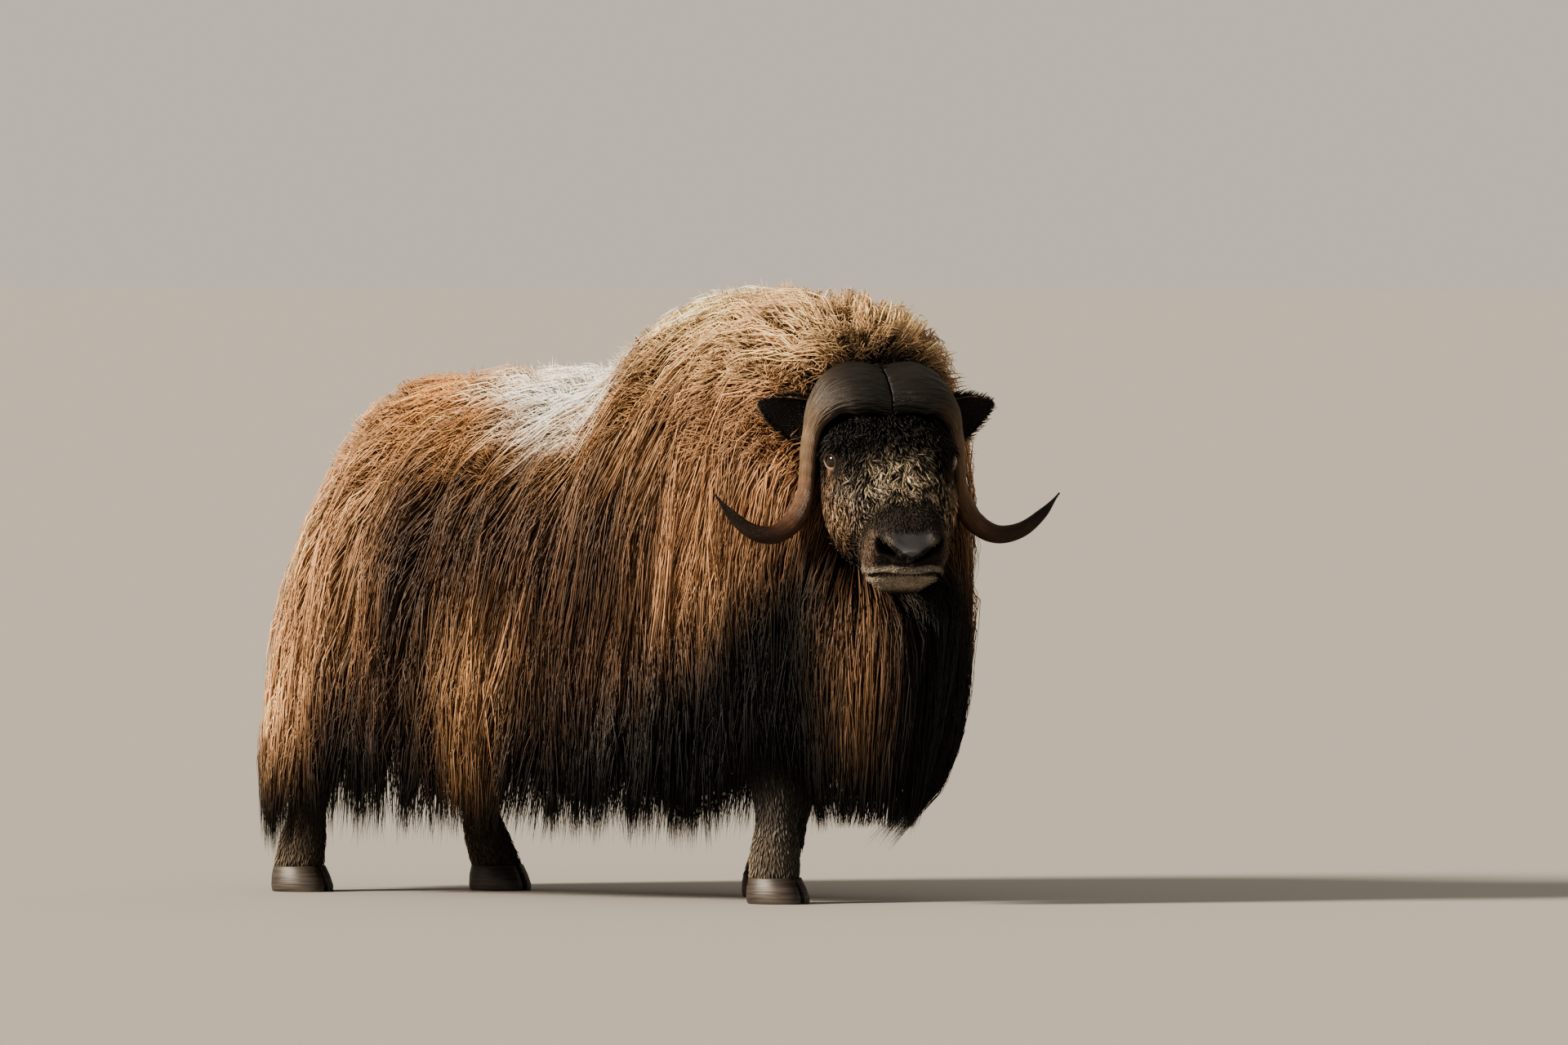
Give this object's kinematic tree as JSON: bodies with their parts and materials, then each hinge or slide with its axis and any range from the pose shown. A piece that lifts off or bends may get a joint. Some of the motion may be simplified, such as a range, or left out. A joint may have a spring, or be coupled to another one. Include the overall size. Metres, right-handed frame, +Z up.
{
  "type": "muskox",
  "caption": "Life-size still muskox standing on four hooves, head turned to its right, long skirted coat, wide horn boss and hooked horns.",
  "frame": {"origin": "on the floor, under the middle of the animal's bounding box", "axes": "+X forward along the body, +Y to the animal's left, +Z up"},
  "size_m": [2.0778, 0.8248, 1.3516],
  "materials": {
    "coat": "long coarse guard hair over wool, matt with lit strands",
    "face": "short dark hair, pale round the muzzle",
    "leg": "short pale grey hair",
    "horn": "keratin, rough and fibrous on the boss, smooth and dark towards the tips",
    "hoof": "dark keratin with fine growth lines",
    "eye": "wet and glossy"
  },
  "bodies": {
    "root": {"head": "face", "ear_left": "face", "ear_right": "face", "eye_left": "eye", "eye_right": "eye", "horn_left": "horn", "horn_right": "horn", "neck": "coat", "torso_shoulder_left": "coat", "torso_shoulder_right": "coat", "torso_flank_left": "coat", "torso_flank_right": "coat", "torso_haunch_left": "coat", "torso_haunch_right": "coat", "tail": "coat", "leg_front_left": "leg", "leg_front_right": "leg", "leg_hind_left": "leg", "leg_hind_right": "leg", "hoof_front_left": "hoof", "hoof_front_right": "hoof", "hoof_hind_left": "hoof", "hoof_hind_right": "hoof"}
  },
  "joints": []
}
